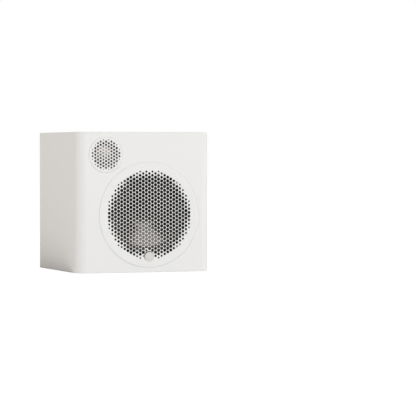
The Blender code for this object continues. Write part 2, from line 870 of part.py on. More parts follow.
def main():
    clear_scene()
    woofer = holder("woofer_axis", WOOFER_X, FRONT, WOOFER_Z)
    tweeter = holder("tweeter_axis", TWEETER_X, FRONT, TWEETER_Z)
    port = holder("port_axis", 0, REAR, PORT_Z)
    cup = holder("terminal_axis", 0, REAR, CUP_Z)

    front_baffle(woofer, tweeter)
    walls()
    rear_panel(port, cup)
    damping_pad()

    woofer_grille(woofer)
    badge(woofer)
    grille("tweeter_grille", TWEETER_GRILLE_R, 4.0, MEDIUM_SIDES, tweeter)

    woofer_basket(woofer)
    woofer_gasket(woofer)
    woofer_surround(woofer)
    woofer_cone(woofer)
    woofer_dust_cap(woofer)
    woofer_spider(woofer)
    woofer_motor(woofer)
    woofer_terminal_strip(woofer)
    woofer_screws(woofer)

    tweeter_faceplate(tweeter)
    tweeter_diaphragm(tweeter)
    tweeter_motor(tweeter)
    tweeter_screws(tweeter)

    port_tube(port)
    terminal_cup(cup)
    binding_post("red", red_plastic(), POST_SPACING / 2, cup)
    binding_post("black", black_plastic(), -POST_SPACING / 2, cup)
    terminal_screws(cup)

    crossover()
    wiring()


main()
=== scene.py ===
"""The looks of the compact two-way bookshelf loudspeaker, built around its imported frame.

Outlines and profiles are in millimetres: depths behind the cabinet's front or rear plane, and distances
from a fitting's own axis. The mesh makers turn them into metres in the row frame.
"""

import json
import math

import bmesh
import bpy
import numpy as np
from mathutils import Matrix, Vector, geometry, noise


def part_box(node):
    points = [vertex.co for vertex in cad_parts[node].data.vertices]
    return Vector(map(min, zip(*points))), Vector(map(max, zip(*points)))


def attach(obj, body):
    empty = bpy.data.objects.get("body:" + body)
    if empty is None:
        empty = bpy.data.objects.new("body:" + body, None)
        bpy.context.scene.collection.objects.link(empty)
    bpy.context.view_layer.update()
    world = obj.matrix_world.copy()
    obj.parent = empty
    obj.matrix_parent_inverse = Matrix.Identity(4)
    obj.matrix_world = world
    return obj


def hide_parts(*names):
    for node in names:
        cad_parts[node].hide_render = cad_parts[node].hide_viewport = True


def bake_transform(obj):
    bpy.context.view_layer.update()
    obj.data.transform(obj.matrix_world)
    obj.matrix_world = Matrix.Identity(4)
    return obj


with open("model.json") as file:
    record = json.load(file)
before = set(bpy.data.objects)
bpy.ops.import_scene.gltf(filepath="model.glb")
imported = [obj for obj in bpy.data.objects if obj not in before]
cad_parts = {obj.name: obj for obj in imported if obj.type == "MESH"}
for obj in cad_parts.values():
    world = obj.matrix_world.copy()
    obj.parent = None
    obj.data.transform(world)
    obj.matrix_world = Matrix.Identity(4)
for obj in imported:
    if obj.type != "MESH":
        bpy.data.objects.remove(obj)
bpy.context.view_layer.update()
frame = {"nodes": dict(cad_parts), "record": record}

MM = 0.001

SHELL_LOW, SHELL_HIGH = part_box("front_baffle")
FRONT = SHELL_LOW.y
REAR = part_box("top_panel")[1].y
WIDTH = (SHELL_HIGH.x - SHELL_LOW.x) / MM
HEIGHT = (SHELL_HIGH.z - SHELL_LOW.z) / MM
DEPTH = (REAR - FRONT) / MM
WALL = (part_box("top_panel")[1].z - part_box("top_panel")[0].z) / MM
BAFFLE = (SHELL_HIGH.y - FRONT) / MM

# Cabinet: corner radii seen from above, and the radius of its top and bottom edges
FRONT_CORNER_R = 14.4
REAR_CORNER_R = 1.6
EDGE_R = 1.0

# Clearances: between parts that don't touch, and round a grille in its seat
GAP = 0.3
HAIRLINE = 0.055

# Each grille's seat: the depth of its rebate, and the radius of the hole behind it
SEATS = {"woofer": (16.0, 59.7), "tweeter": (9.0, 19.5)}

# Grilles: hexagonal lattices of round holes in thin steel, with smaller holes at the rim
HEX_ROW = math.sqrt(3) / 2
WOOFER_PITCH = 5.351
WOOFER_HOLE_R = 0.458 * WOOFER_PITCH
TWEETER_PITCH = 4.61
TWEETER_HOLE_R = 0.37 * TWEETER_PITCH
SHEET = 0.4
BADGE_R = 7.05

CONE_NECK_R = 13.4

# Points closer than this are one point after a cut
WELD = 0.002

# Depths from the rear plane: the floor of the terminal tray, and the front end of a post's socket
TRAY_FLOOR = -25.5
POST_TIP = -6.0

# Sides of turned pieces
ROUND = 128
FINE_ROUND = 96
SMALL_ROUND = 48
HOLE_SIDES = 16


def axis_of(node, plane):
    """The point where a round node's axis meets the front or the rear plane."""
    low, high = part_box(node)
    return Vector(((low.x + high.x) / 2, plane, (low.z + high.z) / 2))


WOOFER = axis_of("woofer_grille", FRONT)
TWEETER = axis_of("tweeter_grille", FRONT)
BADGE = axis_of("badge", FRONT)
PORT = axis_of("port_tube", REAR)
CUP = axis_of("terminal_cup", REAR)


def extent(node, origin):
    """Radius of a round node, and its front and back depth from an origin, in millimetres."""
    low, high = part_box(node)
    return (high.x - low.x) / 2 / MM, (low.y - origin.y) / MM, (high.y - origin.y) / MM


# ---- materials


def new_node(nodes, kind, **values):
    """A node whose sockets and settings are given by name, with underscores for spaces."""
    made = nodes.new(kind)
    for key, value in values.items():
        socket = key.replace("_", " ")
        if socket in made.inputs:
            made.inputs[socket].default_value = value
        else:
            setattr(made, key, value)
    return made


class Finish:
    """A Principled material whose colour, roughness and relief can be given procedural textures."""

    def __init__(self, name, colour, roughness, metallic=0.0, **sockets):
        self.name = name
        self.material = bpy.data.materials.new(name)
        self.material.use_nodes = True
        self.nodes = self.material.node_tree.nodes
        self.links = self.material.node_tree.links
        self.shader = self.nodes["Principled BSDF"]
        self.colour = colour
        sockets.update(Base_Color=(*colour, 1.0), Roughness=roughness, Metallic=metallic)
        for socket, value in sockets.items():
            self.shader.inputs[socket.replace("_", " ")].default_value = value

    def node(self, kind, **values):
        return new_node(self.nodes, kind, **values)

    def place(self, socket):
        """Links the piece's own coordinates to a socket."""
        self.links.new(self.node("ShaderNodeTexCoord").outputs["Object"], socket)

    def noise(self, scale, detail=3.0, stretch=(1.0, 1.0, 1.0)):
        """Noise over the piece, as a height from 0 to 1. Its scale is in waves per metre."""
        stretched = self.node("ShaderNodeMapping", Scale=stretch)
        texture = self.node("ShaderNodeTexNoise", Scale=scale, Detail=detail)
        self.place(stretched.inputs["Vector"])
        self.links.new(stretched.outputs["Vector"], texture.inputs["Vector"])
        return texture.outputs["Fac"]

    def rings(self, centre, scale):
        """Rings turned about an axis along Y through a point of the row frame."""
        offset = self.node("ShaderNodeVectorMath", operation="SUBTRACT")
        offset.inputs[1].default_value = centre
        radial = self.node("ShaderNodeVectorMath", operation="MULTIPLY")
        radial.inputs[1].default_value = (1, 0, 1)
        length = self.node("ShaderNodeVectorMath", operation="LENGTH")
        texture = self.node("ShaderNodeTexNoise", noise_dimensions="1D", Scale=scale, Detail=2.0)
        self.place(offset.inputs[0])
        self.links.new(offset.outputs["Vector"], radial.inputs[0])
        self.links.new(radial.outputs["Vector"], length.inputs[0])
        self.links.new(length.outputs["Value"], texture.inputs["W"])
        return texture.outputs["Fac"]

    def cells(self, scale):
        """A pebbled height, as on moulded plastic or foam."""
        texture = self.node("ShaderNodeTexVoronoi", Scale=scale)
        self.place(texture.inputs["Vector"])
        return texture.outputs["Distance"]

    def weave(self, scale):
        """Two sets of threads that cross, as a height."""
        heights = []
        for way in ("X", "Z"):
            threads = self.node("ShaderNodeTexWave", bands_direction=way, Scale=scale, Distortion=0.6)
            self.place(threads.inputs["Vector"])
            heights.append(threads.outputs["Fac"])
        both = self.node("ShaderNodeMath", operation="MAXIMUM")
        for socket, height in zip(both.inputs, heights):
            self.links.new(height, socket)
        return both.outputs["Value"]

    def mottle(self, height, spread):
        """Makes the colour vary by a share of itself each way."""
        darker = (*(c * (1 - spread) for c in self.colour), 1.0)
        lighter = (*(min(1.0, c * (1 + spread)) for c in self.colour), 1.0)
        ramp = self.node("ShaderNodeMix", data_type="RGBA", A=darker, B=lighter)
        self.links.new(height, ramp.inputs["Factor"])
        self.links.new(ramp.outputs["Result"], self.shader.inputs["Base Color"])

    def polish(self, height, low, high):
        """Makes the roughness vary between two values."""
        spread = self.node("ShaderNodeMapRange", To_Min=low, To_Max=high)
        self.links.new(height, spread.inputs["Value"])
        self.links.new(spread.outputs["Result"], self.shader.inputs["Roughness"])

    def relief(self, height, depth, strength):
        """Bumps of that depth in millimetres."""
        bump = self.node("ShaderNodeBump", Strength=strength, Distance=depth * MM)
        self.links.new(height, bump.inputs["Height"])
        self.links.new(bump.outputs["Normal"], self.shader.inputs["Normal"])
        return self


def lacquer():
    """Sprayed satin lacquer, with a trace of orange peel."""
    made = Finish("white_lacquer", (0.80, 0.80, 0.798), 0.5, Specular_IOR_Level=0.4)
    made.mottle(made.noise(40), 0.008)
    made.polish(made.noise(300), 0.44, 0.56)
    return made.relief(made.noise(1100), 0.02, 0.5)


def powder_coat(name, colour, specular=0.5):
    made = Finish(name, colour, 0.5, Specular_IOR_Level=specular)
    made.mottle(made.noise(60), 0.01)
    made.polish(made.noise(900), 0.45, 0.6)
    return made.relief(made.noise(2600), 0.015, 0.5)


def plated(name, colour):
    made = Finish(name, colour, 0.3, 1.0)
    made.mottle(made.noise(90), 0.05)
    made.polish(made.noise(500), 0.22, 0.4)
    return made.relief(made.noise(1500), 0.01, 0.4)


def moulded(name, colour, low=0.4, high=0.6):
    made = Finish(name, colour, low)
    made.mottle(made.noise(150), 0.04)
    made.polish(made.noise(400), low, high)
    return made.relief(made.cells(2400), 0.012, 0.5)


def pulp():
    """Coated black paper: fibres under a thin gloss."""
    made = Finish("cone_pulp", (0.006, 0.0045, 0.0035), 0.22, Specular_IOR_Level=0.25)
    made.mottle(made.noise(500, stretch=(1, 1, 0.3)), 0.35)
    made.polish(made.noise(700), 0.18, 0.26)
    return made.relief(made.noise(1800, detail=6), 0.012, 0.5)


def soft_rubber(name, shade):
    made = Finish(name, (shade, 0.96 * shade, 0.9 * shade), 0.7, Specular_IOR_Level=0.2)
    made.mottle(made.noise(200), 0.2)
    made.polish(made.noise(300), 0.6, 0.85)
    return made.relief(made.noise(2000), 0.01, 0.5)


def anodised_dome():
    made = Finish("dome_metal", (0.215, 0.208, 0.200), 0.6, 1.0)
    made.mottle(made.noise(300), 0.02)
    made.polish(made.noise(900), 0.55, 0.65)
    return made.relief(made.rings(TWEETER, 5000), 0.006, 0.4)


def brushed_badge():
    made = Finish("badge_metal", (0.675, 0.66, 0.64), 0.6, Specular_IOR_Level=0.3)
    made.mottle(made.noise(200), 0.03)
    made.polish(made.noise(600), 0.55, 0.68)
    return made.relief(made.rings(BADGE, 4000), 0.006, 0.4)


def ferrite():
    made = Finish("ferrite", (0.05, 0.05, 0.055), 0.7)
    made.mottle(made.noise(400, detail=6), 0.4)
    made.polish(made.noise(150), 0.6, 0.9)
    return made.relief(made.noise(1500, detail=6), 0.05, 0.6)


def resin_cloth():
    made = Finish("spider_cloth", (0.45, 0.30, 0.12), 0.9)
    made.mottle(made.weave(700), 0.3)
    return made.relief(made.weave(700), 0.12, 0.8)


def enamelled_copper():
    made = Finish("copper", (0.62, 0.24, 0.10), 0.35, 1.0)
    made.mottle(made.noise(200), 0.15)
    return made.relief(made.noise(900), 0.02, 0.4)


def laminate():
    made = Finish("board_laminate", (0.03, 0.14, 0.06), 0.4)
    made.mottle(made.weave(500), 0.2)
    return made.relief(made.weave(500), 0.02, 0.5)


def cement():
    made = Finish("ceramic_cement", (0.66, 0.64, 0.58), 0.85)
    made.mottle(made.noise(900, detail=6), 0.12)
    return made.relief(made.noise(1600, detail=6), 0.1, 0.7)


def fibre():
    """Matted polyester fibre or open foam."""
    made = Finish("grey_foam", (0.30, 0.30, 0.31), 0.95, Sheen_Weight=0.3)
    made.mottle(made.noise(700, detail=8, stretch=(1, 0.4, 1)), 0.3)
    return made.relief(made.noise(1200, detail=8), 0.6, 0.8)


def make_finishes():
    """One material for each of the record's slots."""
    made = (
        lacquer(),
        powder_coat("grille_paint", (0.80, 0.80, 0.795)),
        brushed_badge(),
        powder_coat("black_steel", (0.010, 0.008, 0.007), 0.2),
        plated("zinc", (0.60, 0.60, 0.58)),
        ferrite(),
        soft_rubber("black_rubber", 0.01),
        soft_rubber("grey_rubber", 0.14),
        pulp(),
        resin_cloth(),
        enamelled_copper(),
        anodised_dome(),
        moulded("grey_plastic", (0.120, 0.112, 0.103)),
        moulded("black_plastic", (0.02, 0.02, 0.021)),
        moulded("red_plastic", (0.42, 0.012, 0.012), 0.2, 0.35),
        plated("gilt_brass", (0.83, 0.60, 0.24)),
        laminate(),
        moulded("film_sleeve", (0.55, 0.38, 0.04), 0.25, 0.4),
        cement(),
        fibre(),
        moulded("lead_sheath", (0.02, 0.02, 0.02), 0.45, 0.6),
    )
    return {finish.name: finish.material for finish in made}


FINISHES = make_finishes()


# ---- mesh makers


def smoothed(data):
    data.shade_smooth()
    data.set_sharp_from_angle(angle=math.radians(35))


def linked(name, data):
    """An object for some data, in the scene."""
    made = bpy.data.objects.new(name, data)
    bpy.context.scene.collection.objects.link(made)
    return made


def flat(name, mesh):
    """An object from a bmesh in metres, as it is."""
    data = bpy.data.meshes.new(name)
    mesh.to_mesh(data)
    mesh.free()
    return linked(name, data)


def solid(name, mesh):
    """A smooth-shaded object from a bmesh in metres, with its faces turned outwards."""
    bmesh.ops.recalc_face_normals(mesh, faces=mesh.faces)
    made = flat(name, mesh)
    smoothed(made.data)
    return made


def finished(made, slot):
    """The slot's material, as the piece's only material."""
    made.data.materials.clear()
    made.data.materials.append(FINISHES[slot])


def standing_for(made, slot, *nodes, body="cabinet"):
    """The piece gets its slot's finish, stands for CAD nodes and rides on a body."""
    finished(made, slot)
    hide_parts(*nodes)
    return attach(made, body) if body else made


def at(origin, x, depth, z):
    return (origin.x + x * MM, origin.y + depth * MM, origin.z + z * MM)


def skin(mesh, rings, closed=False):
    """Quads from ring to ring. Each ring is a list of the mesh's vertices, all of one length."""
    pairs = list(zip(rings, rings[1:]))
    if closed:
        pairs.append((rings[-1], rings[0]))
    for low, high in pairs:
        count = len(low)
        for i in range(count):
            after = (i + 1) % count
            mesh.faces.new((low[i], low[after], high[after], high[i]))


def turned(name, profile, sides, origin):
    """A closed profile of (radius, depth), turned about the fitting's axis."""
    mesh = bmesh.new()
    rim = [mesh.verts.new((radius * MM, depth * MM, 0)) for radius, depth in profile]
    off_axis = [ends for ends in zip(rim, rim[1:] + rim[:1]) if max(v.co.x for v in ends) > 0]
    edges = [mesh.edges.new(ends) for ends in off_axis]
    geom = rim + edges
    bmesh.ops.spin(
        mesh, geom=geom, cent=(0, 0, 0), axis=(0, 1, 0), angle=math.tau, steps=sides, use_merge=True
    )
    bmesh.ops.remove_doubles(mesh, verts=mesh.verts, dist=1e-7)
    bmesh.ops.translate(mesh, verts=mesh.verts, vec=origin)
    return solid(name, mesh)


def lofted(name, rings, origin):
    """A closed body through rings of (x, depth, z), capped at both ends."""
    mesh = bmesh.new()
    made = [[mesh.verts.new(at(origin, *point)) for point in ring] for ring in rings]
    skin(mesh, made)
    mesh.faces.new(made[0])
    mesh.faces.new(made[-1])
    return solid(name, mesh)


def arc(centre, radius, start, end, steps):
    """Points round part of a circle, both ends included. Angles are in degrees."""
    angles = np.radians(np.linspace(start, end, steps + 1))
    return [(centre[0] + radius * math.cos(a), centre[1] + radius * math.sin(a)) for a in angles]


def sheeted(front, thickness):
    """A profile for thin sheet: its front line, and the same line behind it."""
    return [*front, *((r, depth + thickness) for r, depth in reversed(front))]


def rounded_rectangle(width, height, radius, steps):
    x, z = width / 2 - radius, height / 2 - radius
    corners = ((x, z, 0), (-x, z, 90), (-x, -z, 180), (x, -z, 270))
    return [p for cx, cz, turn in corners for p in arc((cx, cz), radius, turn, turn + 90, steps)]


def tapered(name, sections, origin, steps=8):
    """A closed body through rounded rectangles of (width, height, corner radius, depth)."""
    rings = [
        [(x, depth, z) for x, z in rounded_rectangle(width, height, radius, steps)]
        for width, height, radius, depth in sections
    ]
    return lofted(name, rings, origin)


def drill(radius, start, end, sides, origin):
    """A cutter for a round hole between two depths."""
    return turned("drill", [(0, start), (radius, start), (radius, end), (0, end)], sides, origin)


def cut(target, *cutters):
    """Takes the cutters out of the target, applies that and deletes them."""
    for cutter in cutters:
        step = target.modifiers.new("cut", "BOOLEAN")
        step.operation = "DIFFERENCE"
        step.solver = "EXACT"
        step.object = cutter
    apply_modifiers(target)
    weld(target.data)
    smoothed(target.data)
    even = target.modifiers.new("even", "WEIGHTED_NORMAL")
    even.keep_sharp = True
    apply_modifiers(target)
    for cutter in cutters:
        bpy.data.objects.remove(cutter)
    return target


def weld(data):
    """Joins points that a cut has left almost on top of each other."""
    mesh = bmesh.new()
    mesh.from_mesh(data)
    bmesh.ops.remove_doubles(mesh, verts=mesh.verts, dist=WELD * MM)
    bmesh.ops.dissolve_degenerate(mesh, edges=mesh.edges, dist=WELD / 4 * MM)
    mesh.to_mesh(data)
    mesh.free()


def apply_modifiers(target):
    bpy.context.view_layer.update()
    graph = bpy.context.evaluated_depsgraph_get()
    data = bpy.data.meshes.new_from_object(target.evaluated_get(graph), depsgraph=graph)
    target.modifiers.clear()
    target.data = data


# ---- cabinet


def cabinet_outline(inset):
    """The cabinet from above, drawn in by an inset: large radii in front and small ones behind."""
    half = WIDTH / 2
    front, rear = FRONT_CORNER_R, REAR_CORNER_R
    return [
        *arc((-half + front, front), front - inset, 180, 270, 24),
        *arc((half - front, front), front - inset, 270, 360, 24),
        *arc((half - rear, DEPTH - rear), rear - inset, 0, 90, 4),
        *arc((-half + rear, DEPTH - rear), rear - inset, 90, 180, 4),
    ]


def cabinet_shell():
    """Baffle and four walls under one coat of lacquer, so that no joint shows."""
    origin = Vector((0, FRONT, SHELL_LOW.z))
    steps = 6
    edge = [math.pi / 2 * i / steps for i in range(steps + 1)]
    levels = [(EDGE_R * (1 - math.sin(a)), EDGE_R * (1 - math.cos(a))) for a in edge]
    levels += [(inset, HEIGHT - height) for inset, height in reversed(levels)]
    rings = [[(x, y, height) for x, y in cabinet_outline(inset)] for inset, height in levels]
    shell = lofted("cabinet_shell", rings, origin)
    cut(shell, room_cutter(), seat_cutter("woofer", WOOFER), seat_cutter("tweeter", TWEETER))
    names = ("front_baffle", "left_side_panel", "right_side_panel", "top_panel", "bottom_panel")
    standing_for(shell, "white_lacquer", *names)


def room_cutter():
    """The hollow behind the baffle, open at the rear."""
    origin = Vector((0, FRONT, SHELL_LOW.z + HEIGHT / 2 * MM))
    chamfer = 0.5
    width, height = WIDTH - 2 * WALL, HEIGHT - 2 * WALL
    steps = ((0, BAFFLE), (0, DEPTH - chamfer), (2 * chamfer, DEPTH), (2 * chamfer, DEPTH + 5))
    sections = [(width + grown, height + grown, 0.6, depth) for grown, depth in steps]
    return tapered("room", sections, origin, 3)


def seat_cutter(driver, origin):
    """The rebate behind a grille, with a soft lip, and the hole behind it for the driver's body."""
    rebate, hole = SEATS[driver]
    radius = extent(f"{driver}_grille", origin)[0] + HAIRLINE
    lip = 0.15
    soft = [(radius + lip - x, y) for x, y in arc((0, lip), lip, -90, 0, 5)]
    profile = [(0, -4), (radius + lip, -4), *soft, (radius, rebate), (hole, rebate), (hole, 30), (0, 30)]
    return turned(driver, profile, ROUND, origin)


def rear_board():
    """Set into the walls, with a hairline round it."""
    low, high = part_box("rear_panel")
    width, height = (high.x - low.x) / MM, (high.z - low.z) / MM
    soft = 0.5
    sections = [
        (width - 2 * inset, height - 2 * inset, 0.8, depth)
        for inset, depth in ((0, (low.y - REAR) / MM), (0, -soft), (0.3 * soft, -0.3 * soft), (soft, 0))
    ]
    board = tapered("rear_board", sections, axis_of("rear_panel", REAR), 3)
    tray = tapered("tray", [(74.8, 52.8, 6.4, depth) for depth in (-14, 2)], CUP)
    cut(board, tray, drill(26.8, -14, 2, FINE_ROUND, PORT))
    standing_for(board, "white_lacquer", "rear_panel")


# ---- grilles and badge


def lattice(pitch, reach):
    """Places of a hexagonal lattice with upright columns: x, z, and the distance out in pitches."""
    count = math.ceil(reach / HEX_ROW)
    for column in range(-count, count + 1):
        start = 0.5 * (column % 2)
        for row in range(-math.ceil(reach) - 1, math.ceil(reach) + 2):
            place = (column * HEX_ROW, row + start)
            if math.hypot(*place) <= reach:
                yield place[0] * pitch, place[1] * pitch, math.hypot(*place)


def woofer_holes():
    """Full holes, then a fringe of smaller ones, and none under the badge."""
    steps = ((10.5, 1.0), (10.9, 0.86), (11.2, 0.75), (11.3, 0.88), (11.4, 0.76), (11.6, 0.62), (12, 0.51))
    badge_x, badge_z, badge_radius = badge_cutout()
    margin, smallest = 0.2, 0.6
    for x, z, ring in lattice(WOOFER_PITCH, 11.9):
        room = math.hypot(x - badge_x, z - badge_z) - badge_radius - margin
        if room > smallest:
            yield x, z, min(room, WOOFER_HOLE_R * fringe(ring, steps))


def badge_cutout():
    """The badge's hole in the grille, off centre and a little large, for a shadow at its upper left."""
    left, up, radius = 0.65, 0.75, 7.4
    return -left, (BADGE.z - WOOFER.z) / MM + up, radius


def tweeter_holes():
    for x, z, ring in lattice(TWEETER_PITCH, 4.6):
        yield x, z, TWEETER_HOLE_R * fringe(ring, ((4.2, 1.0), (4.5, 0.88), (4.7, 0.47)))


def fringe(ring, steps):
    """Share of the full hole radius at a distance from the centre, in pitches."""
    return next(share for limit, share in steps if ring < limit)


def circle(x, z, radius, sides):
    return arc((x, z), radius, 0, 360, sides)[:-1]


def web(loops):
    """Faces between an outer loop and the holes in it, as indices into the loops' points in order."""
    points = [Vector(p) for loop in loops for p in loop]
    owner = [k for k, loop in enumerate(loops) for _ in loop]
    edges = []
    for loop in loops:
        start = len(edges)
        edges += [(start + i, start + (i + 1) % len(loop)) for i in range(len(loop))]
    faces = geometry.delaunay_2d_cdt(points, edges, [], 1, 1e-6)[2]
    return [face for face in faces if owner[face[0]] == 0 or len({owner[i] for i in face}) > 1]


def perforated(name, origin, holes, skirt, front):
    """A pressed steel cap with real holes. Each hole's edges are a little rounded, as punching leaves them.

    The cap sits a trace up and to the right in its seat, so the line round it is darker at the lower left.
    """
    radius = extent(name, origin)[0]
    origin = origin + Vector((0.03, 0, 0.04)) * MM
    edge, rim, back = 1.1, 0.06, front + SHEET
    loops = [circle(0, 0, radius - edge, 2 * ROUND)]
    loops += [circle(x, z, hole + rim, HOLE_SIDES if hole < 4 else 4 * HOLE_SIDES) for x, z, hole in holes]
    mesh = bmesh.new()

    def ring(loop, depth):
        return [mesh.verts.new(at(origin, x, depth, z)) for x, z in loop]

    faces = web(loops)
    sheets = {depth: [ring(loop, depth) for loop in loops] for depth in (front, back)}
    for sheet in sheets.values():
        verts = [vert for loop in sheet for vert in loop]
        for face in faces:
            mesh.faces.new([verts[i] for i in face])

    wrap = arc((radius - edge, front + edge), edge, -90, 0, 5)[1:]
    outside = [*wrap, (radius, skirt - 0.3), (radius - 0.3, skirt), (radius - edge, skirt)]
    punched = [(0.3 * rim, front + 0.3 * rim), (0, front + rim), (0, back - rim)]
    walls = [[ring(circle(0, 0, r, 2 * ROUND), depth) for r, depth in outside]]
    for (x, z, hole), loop in zip(holes, loops[1:]):
        walls.append([ring(circle(x, z, hole + grown, len(loop)), depth) for grown, depth in punched])
    for near, wall, far in zip(sheets[front], walls, sheets[back]):
        skin(mesh, [near, *wall, far])
    return solid(f"{name}_perforated", mesh)


def grilles():
    front = extent("woofer_grille", WOOFER)[1]
    woofer = perforated("woofer_grille", WOOFER, [*woofer_holes(), badge_cutout()], 5.0, front)
    standing_for(woofer, "grille_paint", "woofer_grille")
    tweeter = perforated("tweeter_grille", TWEETER, list(tweeter_holes()), 4.0, front)
    standing_for(tweeter, "grille_paint", "tweeter_grille")


def badge():
    """A plain turned plate, slightly domed, with one fine ring near its rim, and the dark clip behind it."""
    flange, front, back = extent("badge", BADGE)
    radius, soft = BADGE_R, 0.4
    crown = [(radius * s, front + 0.3 * s * s) for s in (0, 0.2, 0.4, 0.6, 0.74)]
    ring = [(0.78 * radius, front + 0.35), (0.82 * radius, front + 0.2), (radius - soft, front + 0.3)]
    wrap = arc((radius - soft, front + 0.3 + soft), soft, -85, 0, 5)
    plate_back = 0.1
    profile = [*crown, *ring, *wrap, (radius, plate_back - 0.2), (radius - 0.2, plate_back), (0, plate_back)]
    standing_for(turned("badge_plate", profile, FINE_ROUND, BADGE), "badge_metal", "badge")
    clip = [(0, 0.2), (5.8, 0.2), (5.8, 0.9), (flange, 0.9), (flange, back), (0, back)]
    standing_for(turned("badge_clip", clip, SMALL_ROUND, BADGE), "black_plastic", "badge")


# ---- woofer


def cone_depth(radius):
    """Depth of the cone's front surface behind the front plane."""
    rim_radius, rim, back = extent("woofer_cone", WOOFER)
    neck = back - 0.9
    share = (radius - CONE_NECK_R) / (rim_radius - CONE_NECK_R)
    return neck - (neck - rim) * share**0.9


def woofer_cone():
    rim = extent("woofer_cone", WOOFER)[0]
    front = [(r, cone_depth(r)) for r in np.linspace(CONE_NECK_R, rim, 40)]
    cone = turned("cone", sheeted(front, 0.8), FINE_ROUND, WOOFER)
    standing_for(cone, "cone_pulp", "woofer_cone", body="woofer_cone_assembly")

    cap, front_depth, back_depth = extent("woofer_dust_cap", WOOFER)
    sheet = 0.45
    dish = back_depth - sheet - front_depth
    front = [(cap * s, front_depth + dish * (1 - s * s)) for s in np.linspace(0, 1, 20)]
    dust_cap = turned("dust_cap", sheeted(front, sheet), FINE_ROUND, WOOFER)
    standing_for(dust_cap, "cone_pulp", "woofer_dust_cap", body="woofer_cone_assembly")


def bends_round(made, slot, node, origin, inner, outer, child):
    """A piece between the moving coil and the frame; the radii inner and outer and the child body are not
    used.

    Its points are laid out by their distance from the axis for a moment, then put back as they were.
    """
    standing_for(made, slot, node, body=None)
    mesh = made.data
    true = np.empty(len(mesh.vertices) * 3)
    mesh.vertices.foreach_get("co", true)
    from_axis = true.reshape(-1, 3) - np.array(origin)
    unrolled = np.zeros_like(from_axis)
    unrolled[:, 0] = np.hypot(from_axis[:, 0], from_axis[:, 2])
    mesh.vertices.foreach_set("co", unrolled.ravel())
    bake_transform(made)
    mesh.vertices.foreach_set("co", true)
    mesh.update()


def half_roll(inner, outer, base, height, sheet, steps, thinned=1.0):
    """The front and the back of a roll between two radii. Thinned is for the thickness at its feet."""
    centre, half = (inner + outer) / 2, (outer - inner) / 2
    angles = np.linspace(0, math.pi, steps + 1)
    front = [(centre - half * math.cos(a), base - height * math.sin(a)) for a in angles]
    back_half, back_base = half - thinned * sheet, base + sheet
    return front, [(centre + back_half * math.cos(a), back_base - height * math.sin(a)) for a in angles]


def woofer_surround():
    """Rubber half roll between the cone and the flange, with a lip on each."""
    inner, outer, sheet = 49.6, 58.4, 0.5
    base = extent("woofer_cone", WOOFER)[1] - GAP
    height = base - sheet - extent("woofer_surround", WOOFER)[1]
    front, back = half_roll(inner, outer, base - sheet, height, sheet, steps=24)
    lip_r = 46.0
    lip = cone_depth(lip_r) - GAP
    profile = [
        (lip_r, lip - sheet), *front, (62.4, base - sheet), (62.4, base), *back, (49.0, base), (lip_r, lip),
    ]
    surround = turned("surround", profile, ROUND, WOOFER)
    held = (WOOFER, inner + 0.5, outer - 0.5, "woofer_cone_assembly")
    bends_round(surround, "black_rubber", "woofer_surround", *held)


def woofer_spider():
    """Corrugated cloth ring behind the cone."""
    inner, outer, swing, sheet, folds = 16.0, 35.5, 1.0, 0.45, 7
    level = 32.2
    reach = np.linspace(inner, outer, 12 * folds + 1)
    turns = (reach - inner) / (outer - inner) * folds
    wave = [(r, level + swing * math.sin(math.tau * t)) for r, t in zip(reach, turns)]
    front = [(13.5, level), *wave, (40.4, level)]
    spider = turned("spider", sheeted(front, sheet), SMALL_ROUND, WOOFER)
    bends_round(spider, "spider_cloth", "woofer_spider", WOOFER, inner, outer, "woofer_cone_assembly")


def woofer_basket():
    """Pressed frame: a flange, a wall with six windows, and the plate that the motor hangs on."""
    radius, front, motor_face = extent("woofer_basket", WOOFER)
    profile = [
        (58.2, front), (radius - 0.3, front), (radius, front + 0.3), (radius, 14.0), (radius - 0.2, 14.2),
        (59.9, 14.2), (59.1, 14.5), (57.6, 16.6), (43.1, 33.8), (42.0, 34.6), (39.0, 34.8), (38.2, 35.4),
        (36.9, motor_face - 0.6), (36.3, motor_face), (15.5, motor_face), (15.5, 44.2), (34.4, 44.2),
        (35.0, 43.7), (36.4, 33.6), (37.0, 33.0), (40.4, 33.0), (41.2, 32.6), (56.0, 15.6),
    ]
    basket = turned("basket_windowed", profile, ROUND, WOOFER)
    windows = []
    for angle in range(30, 390, 60):
        window = tapered("window", [(24, 26, 3, depth) for depth in (18.5, 30.5)], Vector())
        turn = Matrix.Rotation(-math.radians(angle), 4, "Y") @ Matrix.Translation((50 * MM, 0, 0))
        window.data.transform(Matrix.Translation(WOOFER) @ turn)
        windows.append(window)
    holes = [drill(2.4, 8, 18, 32, axis_of(f"woofer_screw_{i}", FRONT)) for i in (1, 2, 3, 4)]
    standing_for(cut(basket, *windows, *holes), "black_steel", "woofer_basket")


def motor_rings():
    """Turned steel and ground ferrite, with broken edges: the woofer's rings and the tweeter's discs."""
    for node, origin, bore, broken, slot in (
        ("woofer_top_plate", WOOFER, 14.7, 0.5, "zinc"),
        ("woofer_magnet", WOOFER, 17.0, 0.9, "ferrite"),
        ("tweeter_magnet", TWEETER, 0.0, 0.4, "zinc"),
        ("tweeter_pole_plate", TWEETER, 0.0, 0.3, "zinc"),
    ):
        radius, front, back = extent(node, origin)
        inset, drop, rise = radius - broken, front + broken, back - broken
        rim = [(inset, front), (radius, drop), (radius, rise), (inset, back)]
        inner = [(0, back), (0, front)]
        if bore:
            inner = [(bore + broken, back), (bore, rise), (bore, drop), (bore + broken, front)]
        standing_for(turned(f"{node}_turned", [*rim, *inner], FINE_ROUND, origin), slot, node)


